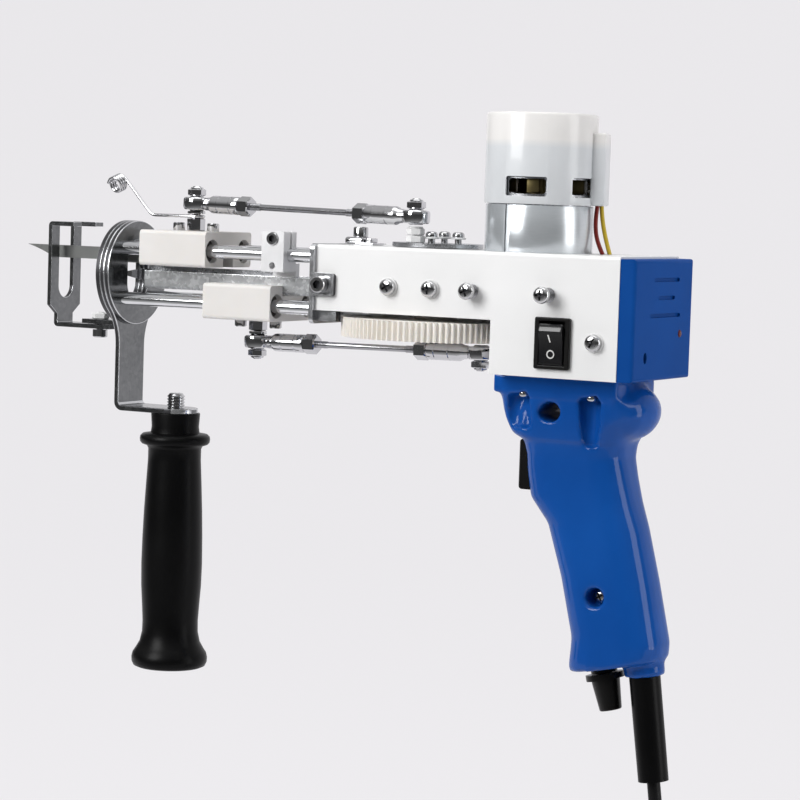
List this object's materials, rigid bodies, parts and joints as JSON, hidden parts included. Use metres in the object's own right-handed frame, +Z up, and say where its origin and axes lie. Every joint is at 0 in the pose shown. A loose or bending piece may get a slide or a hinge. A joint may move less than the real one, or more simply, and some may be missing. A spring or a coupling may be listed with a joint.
{
  "type": "handheld tufting machine",
  "caption": "Handheld tufting machine: a motor and gear drive a needle and a scissor cutter on guide rods ahead of a pistol grip with a trigger.",
  "frame": {"origin": "middle of the pistol grip, where the hand closes round it, in the middle plane", "axes": "-X is the way the needle points, +Z is up, and the mains switch is on the -Y side"},
  "size_m": [0.3639, 0.08, 0.4312],
  "materials": {
    "zinc": "zinc-plated sheet",
    "shell_white": "white powder coat",
    "bright_steel": "bright plated steel",
    "screw_steel": "zinc-plated screws",
    "nylon": "natural white nylon",
    "gear_nylon": "natural nylon",
    "aluminium": "machined aluminium",
    "blue_plastic": "blue moulded plastic",
    "black_rubber": "black rubber",
    "black_plastic": "black moulded plastic",
    "clear_plastic": "milky translucent plastic",
    "motor_grey": "plated motor steel",
    "wire_red": "insulated wires",
    "lens_red": "red lens",
    "board": "circuit board",
    "needle_steel": "ground steel",
    "bearing_steel": "bearing steel",
    "cord_black": "black PVC cord",
    "tie_black": "black tie"
  },
  "bodies": {
    "frame": {"front_plate": "zinc", "housing_shell": "shell_white", "housing_floor": "shell_white", "rear_cap": "blue_plastic", "led_lens": "lens_red", "pan_screws": "screw_steel", "socket_screws": "screw_steel", "top_clip": "zinc", "bearing_block": "aluminium", "shaft_bearings": "bearing_steel", "motor_mount": "zinc", "motor_can": "motor_grey", "motor_ring": "motor_grey", "motor_cover": "clear_plastic", "motor_wires": "wire_red", "switch_bezel": "black_plastic", "control_board": "board", "guide_rods": "bright_steel", "rod_clamp": "aluminium", "guide_channel": "zinc", "nose_rear_disc": "zinc", "handle_bracket": "zinc", "nose_front_ring": "zinc", "front_handle": "black_rubber", "handle_stud": "bright_steel", "grip_left": "blue_plastic", "grip_right": "blue_plastic", "trigger_switch": "black_plastic", "speed_control": "screw_steel", "strain_relief": "black_rubber", "mains_cord": "cord_black", "cord_coil": "cord_black", "cord_tie": "tie_black", "mains_plug": "black_plastic"},
    "crank": {"gear_shaft": "bearing_steel", "drive_gear": "gear_nylon", "crank_disc": "bearing_steel", "crank_fasteners": "screw_steel"},
    "pinion": {"motor_shaft": "bearing_steel", "pinion": "motor_grey"},
    "needle_carriage": {"needle_slider": "nylon", "needle_bar": "bearing_steel", "needle": "needle_steel", "needle_fasteners": "bright_steel", "yarn_guide": "bright_steel"},
    "cutter_carriage": {"cutter_slider": "nylon", "cutter_bar": "bearing_steel", "cutter_fasteners": "bright_steel", "fixed_blade": "needle_steel"},
    "scissor_blade": {"moving_blade": "needle_steel"},
    "needle_link": {"upper_rod_ends": "bright_steel", "upper_link_rod": "bright_steel", "upper_crank_ball": "bright_steel"},
    "cutter_link": {"lower_rod_ends": "bright_steel", "lower_link_rod": "bright_steel", "lower_crank_ball": "bright_steel"},
    "foot": {"presser_foot": "zinc"},
    "trigger": {"trigger": "black_plastic"},
    "rocker": {"switch_rocker": "black_plastic"},
    "knob": {"speed_knob": "black_plastic"}
  },
  "joints": [
    {"name": "crank_spin", "type": "hinge", "parent": "frame", "child": "crank", "pos_m": [-0.081, 0, 0.0982], "axis": [0, 0, 1], "continuous": true},
    {"name": "pinion_spin", "type": "hinge", "parent": "frame", "child": "pinion", "pos_m": [-0.0338, 0, 0.0982], "axis": [0, 0, 1], "continuous": true},
    {"name": "needle_slide", "type": "slide", "parent": "frame", "child": "needle_carriage", "axis": [-1, 0, 0], "range_m": [-0.0169, 0.0103]},
    {"name": "cutter_slide", "type": "slide", "parent": "frame", "child": "cutter_carriage", "axis": [-1, 0, 0], "range_m": [0, 0.0467]},
    {"name": "needle_link_swing", "type": "hinge", "parent": "needle_carriage", "child": "needle_link", "pos_m": [-0.20326, 0, 0.1302], "axis": [0, 0, 1], "range_deg": [-0.4, 13]},
    {"name": "cutter_link_swing", "type": "hinge", "parent": "cutter_carriage", "child": "cutter_link", "pos_m": [-0.16937, 0, 0.0705], "axis": [0, 0, 1], "range_deg": [-11, 13]},
    {"name": "blade_swing", "type": "hinge", "parent": "cutter_carriage", "child": "scissor_blade", "pos_m": [-0.2215, 0, 0.09765], "axis": [0, -1, 0], "range_deg": [0, 12]},
    {"name": "foot_slide", "type": "slide", "parent": "frame", "child": "foot", "axis": [-1, 0, 0], "range_m": [-0.006, 0.005]},
    {"name": "trigger_slide", "type": "slide", "parent": "frame", "child": "trigger", "axis": [1, 0, 0], "range_m": [0, 0.0035], "stiffness_N_per_m": 1500},
    {"name": "switch_tilt", "type": "hinge", "parent": "frame", "child": "rocker", "pos_m": [-0.0111, -0.0275, 0.0791], "axis": [1, 0, 0], "range_deg": [0, 18]},
    {"name": "knob_turn", "type": "hinge", "parent": "frame", "child": "knob", "pos_m": [0.0032, 0, -0.0554], "axis": [0.2268, 0, -0.9739], "range_deg": [0, 270]}
  ],
  "couplings": [
    {"joint": "pinion_spin", "follows": "crank_spin", "ratio": -4.9}
  ]
}
